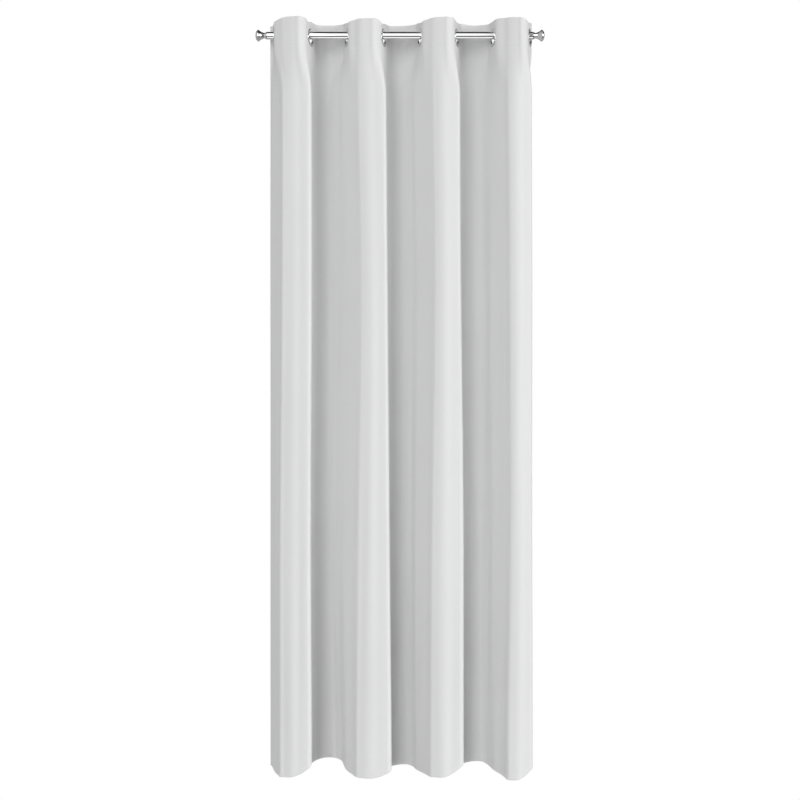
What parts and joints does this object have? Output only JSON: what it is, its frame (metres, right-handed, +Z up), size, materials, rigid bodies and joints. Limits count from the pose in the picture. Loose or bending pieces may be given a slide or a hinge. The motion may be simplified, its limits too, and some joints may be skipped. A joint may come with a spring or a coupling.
{
  "type": "eyelet curtain panel on a rod",
  "caption": "Full-length light grey eyelet curtain panel in soft upright folds, hanging on its chrome rod with trumpet finials.",
  "frame": {"origin": "middle of the rod's axis, which is what the part hangs by", "axes": "+X along the rod to a viewer's right, -Y towards the room, +Z up"},
  "size_m": [0.963, 0.1218, 2.5],
  "materials": {
    "curtain_cloth": "satin",
    "buckram": "matte",
    "label_tape": "satin",
    "eyelet_metal": "polished",
    "rod_metal": "polished",
    "plug_nylon": "matte",
    "stud_steel": "satin"
  },
  "bodies": {
    "rod": {"rod_tube": "rod_metal"},
    "finial_left": {"finial_left": "rod_metal", "finial_plug_left": "plug_nylon", "finial_stud_left": "stud_steel"},
    "finial_right": {"finial_right": "rod_metal", "finial_plug_right": "plug_nylon", "finial_stud_right": "stud_steel"},
    "leaf_1": {"panel_1": "curtain_cloth", "heading_stiffener_1": "buckram", "eyelet_front_1": "eyelet_metal", "eyelet_back_1": "eyelet_metal", "care_label": "label_tape"},
    "leaf_2": {"panel_2": "curtain_cloth", "heading_stiffener_2": "buckram", "eyelet_front_2": "eyelet_metal", "eyelet_back_2": "eyelet_metal"},
    "leaf_3": {"panel_3": "curtain_cloth", "heading_stiffener_3": "buckram", "eyelet_front_3": "eyelet_metal", "eyelet_back_3": "eyelet_metal"},
    "leaf_4": {"panel_4": "curtain_cloth", "heading_stiffener_4": "buckram", "eyelet_front_4": "eyelet_metal", "eyelet_back_4": "eyelet_metal"},
    "leaf_5": {"panel_5": "curtain_cloth", "heading_stiffener_5": "buckram", "eyelet_front_5": "eyelet_metal", "eyelet_back_5": "eyelet_metal"},
    "leaf_6": {"panel_6": "curtain_cloth", "heading_stiffener_6": "buckram", "eyelet_front_6": "eyelet_metal", "eyelet_back_6": "eyelet_metal"},
    "leaf_7": {"panel_7": "curtain_cloth", "heading_stiffener_7": "buckram", "eyelet_front_7": "eyelet_metal", "eyelet_back_7": "eyelet_metal"},
    "leaf_8": {"panel_8": "curtain_cloth", "heading_stiffener_8": "buckram", "eyelet_front_8": "eyelet_metal", "eyelet_back_8": "eyelet_metal"}
  },
  "joints": [
    {"name": "finial_left_pull", "type": "slide", "parent": "rod", "child": "finial_left", "axis": [-1, 0, 0], "range_m": [0, 0.03]},
    {"name": "finial_right_pull", "type": "slide", "parent": "rod", "child": "finial_right", "axis": [1, 0, 0], "range_m": [0, 0.03]},
    {"name": "swing", "type": "hinge", "parent": "rod", "child": "leaf_1", "pos_m": [0, 0, 0], "axis": [-1, 0, 0], "range_deg": [-6, 25]},
    {"name": "follow_2", "type": "slide", "parent": "leaf_1", "child": "leaf_2", "axis": [-1, 0, 0], "range_m": [0, 0.0762]},
    {"name": "follow_3", "type": "slide", "parent": "leaf_1", "child": "leaf_3", "axis": [-1, 0, 0], "range_m": [0, 0.1519]},
    {"name": "follow_4", "type": "slide", "parent": "leaf_1", "child": "leaf_4", "axis": [-1, 0, 0], "range_m": [0, 0.2276]},
    {"name": "follow_5", "type": "slide", "parent": "leaf_1", "child": "leaf_5", "axis": [-1, 0, 0], "range_m": [0, 0.3033]},
    {"name": "follow_6", "type": "slide", "parent": "leaf_1", "child": "leaf_6", "axis": [-1, 0, 0], "range_m": [0, 0.379]},
    {"name": "follow_7", "type": "slide", "parent": "leaf_1", "child": "leaf_7", "axis": [-1, 0, 0], "range_m": [0, 0.4547]},
    {"name": "draw", "type": "slide", "parent": "leaf_1", "child": "leaf_8", "axis": [-1, 0, 0], "range_m": [0, 0.5299]}
  ],
  "couplings": [
    {"joint": "follow_2", "follows": "draw", "ratio": 0.14286},
    {"joint": "follow_3", "follows": "draw", "ratio": 0.28571},
    {"joint": "follow_4", "follows": "draw", "ratio": 0.42857},
    {"joint": "follow_5", "follows": "draw", "ratio": 0.57143},
    {"joint": "follow_6", "follows": "draw", "ratio": 0.71429},
    {"joint": "follow_7", "follows": "draw", "ratio": 0.85714}
  ]
}
